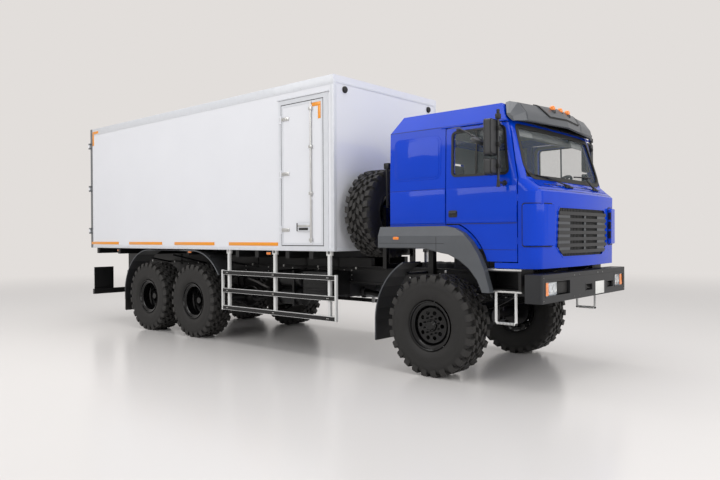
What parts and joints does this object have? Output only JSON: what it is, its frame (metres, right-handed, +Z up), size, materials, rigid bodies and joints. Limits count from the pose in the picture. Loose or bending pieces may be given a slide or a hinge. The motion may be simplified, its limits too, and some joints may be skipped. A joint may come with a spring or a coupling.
{
  "type": "insulated box truck",
  "caption": "Off-road lorry with a cab over the engine, spare wheel behind the cab, and a white insulated body with side and rear doors.",
  "frame": {"origin": "on the ground, in the middle of the truck's length and width", "axes": "+X forward, +Y to the vehicle's left, +Z up"},
  "size_m": [10.072, 2.84, 3.944],
  "materials": {
    "tyre": "matte",
    "wheel_steel": "satin",
    "chassis_black": "satin",
    "cast_metal": "matte",
    "tank_alloy": "satin",
    "bumper_grey": "satin",
    "lamp_lens": "gloss",
    "cab_blue": "gloss",
    "grey_plastic": "satin",
    "glass": "gloss",
    "seat_fabric": "matte",
    "interior_plastic": "matte",
    "box_white": "gloss",
    "floor_alloy": "satin"
  },
  "bodies": {
    "chassis": {"box_floor": "floor_alloy", "box_front_wall": "box_white", "box_roof": "box_white", "box_wall_left": "box_white", "box_wall_right": "box_white", "bumper": "bumper_grey", "cab_mounts": "chassis_black", "equipment": "chassis_black", "frame_crossmembers": "chassis_black", "frame_rails": "chassis_black", "front_axle": "chassis_black", "front_steps": "chassis_black", "fuel_tank": "tank_alloy", "lamps": "lamp_lens", "mudguards": "chassis_black", "powertrain": "cast_metal", "propeller_shafts": "chassis_black", "rear_axles": "chassis_black", "rear_frame": "box_white", "side_guards": "chassis_black", "silencer": "chassis_black", "spare_carrier": "wheel_steel", "spare_tyre": "tyre", "springs": "chassis_black", "subframe": "chassis_black", "tow_coupling": "chassis_black", "underrun_bar": "chassis_black"},
    "wheel_front_right": {"tyre_front_right": "tyre", "rim_front_right": "wheel_steel"},
    "wheel_front_left": {"tyre_front_left": "tyre", "rim_front_left": "wheel_steel"},
    "wheel_middle_right": {"tyre_middle_right": "tyre", "rim_middle_right": "wheel_steel"},
    "wheel_middle_left": {"tyre_middle_left": "tyre", "rim_middle_left": "wheel_steel"},
    "wheel_rear_right": {"tyre_rear_right": "tyre", "rim_rear_right": "wheel_steel"},
    "wheel_rear_left": {"tyre_rear_left": "tyre", "rim_rear_left": "wheel_steel"},
    "knuckle_right": {"knuckle_right": "chassis_black"},
    "knuckle_left": {"knuckle_left": "chassis_black"},
    "door_right": {"door_right": "cab_blue", "door_glass_right": "glass", "mirror_right": "grey_plastic"},
    "door_left": {"door_left": "cab_blue", "door_glass_left": "glass", "mirror_left": "grey_plastic"},
    "cab": {"cab_shell": "cab_blue", "cab_roof": "cab_blue", "front_panel": "cab_blue", "grille": "grey_plastic", "windscreen": "glass", "sun_visor": "grey_plastic", "wheel_arch_flares": "grey_plastic", "seats": "seat_fabric", "dashboard": "interior_plastic"},
    "side_door": {"side_door": "box_white"},
    "rear_door_right": {"rear_door_right": "box_white"},
    "rear_door_left": {"rear_door_left": "box_white"}
  },
  "joints": [
    {"name": "wheel_spin_front_right", "type": "hinge", "parent": "knuckle_right", "child": "wheel_front_right", "pos_m": [3.585, -1.06, 0.61965], "axis": [0, 1, 0], "continuous": true},
    {"name": "wheel_spin_front_left", "type": "hinge", "parent": "knuckle_left", "child": "wheel_front_left", "pos_m": [3.585, 1.06, 0.61965], "axis": [0, 1, 0], "continuous": true},
    {"name": "wheel_spin_middle_right", "type": "hinge", "parent": "chassis", "child": "wheel_middle_right", "pos_m": [-1.345, -1.06, 0.61965], "axis": [0, 1, 0], "continuous": true},
    {"name": "wheel_spin_middle_left", "type": "hinge", "parent": "chassis", "child": "wheel_middle_left", "pos_m": [-1.345, 1.06, 0.61965], "axis": [0, 1, 0], "continuous": true},
    {"name": "wheel_spin_rear_right", "type": "hinge", "parent": "chassis", "child": "wheel_rear_right", "pos_m": [-2.755, -1.06, 0.61965], "axis": [0, 1, 0], "continuous": true},
    {"name": "wheel_spin_rear_left", "type": "hinge", "parent": "chassis", "child": "wheel_rear_left", "pos_m": [-2.755, 1.06, 0.61965], "axis": [0, 1, 0], "continuous": true},
    {"name": "steering_right", "type": "hinge", "parent": "chassis", "child": "knuckle_right", "pos_m": [3.585, -0.86, 0.61965], "axis": [0, 0, 1], "range_deg": [-30, 30]},
    {"name": "steering_left", "type": "hinge", "parent": "chassis", "child": "knuckle_left", "pos_m": [3.585, 0.86, 0.61965], "axis": [0, 0, 1], "range_deg": [-30, 30]},
    {"name": "cab_tilt", "type": "hinge", "parent": "chassis", "child": "cab", "pos_m": [4.925, 0, 1.352], "axis": [0, 1, 0], "range_deg": [0, 50]},
    {"name": "cab_door_right", "type": "hinge", "parent": "cab", "child": "door_right", "pos_m": [4.714, -1.146, 2.2], "axis": [0, 0, 1], "range_deg": [0, 70]},
    {"name": "cab_door_left", "type": "hinge", "parent": "cab", "child": "door_left", "pos_m": [4.714, 1.146, 2.2], "axis": [0, 0, -1], "range_deg": [0, 70]},
    {"name": "side_door_hinge", "type": "hinge", "parent": "chassis", "child": "side_door", "pos_m": [0.919, -1.243, 2.61], "axis": [0, 0, -1], "range_deg": [0, 170]},
    {"name": "rear_door_hinge_right", "type": "hinge", "parent": "chassis", "child": "rear_door_right", "pos_m": [-5.012, -1.245, 2.7], "axis": [0, 0, 1], "range_deg": [0, 270]},
    {"name": "rear_door_hinge_left", "type": "hinge", "parent": "chassis", "child": "rear_door_left", "pos_m": [-5.012, 1.245, 2.7], "axis": [0, 0, -1], "range_deg": [0, 270]}
  ],
  "couplings": [
    {"joint": "steering_left", "follows": "steering_right", "ratio": 1}
  ]
}
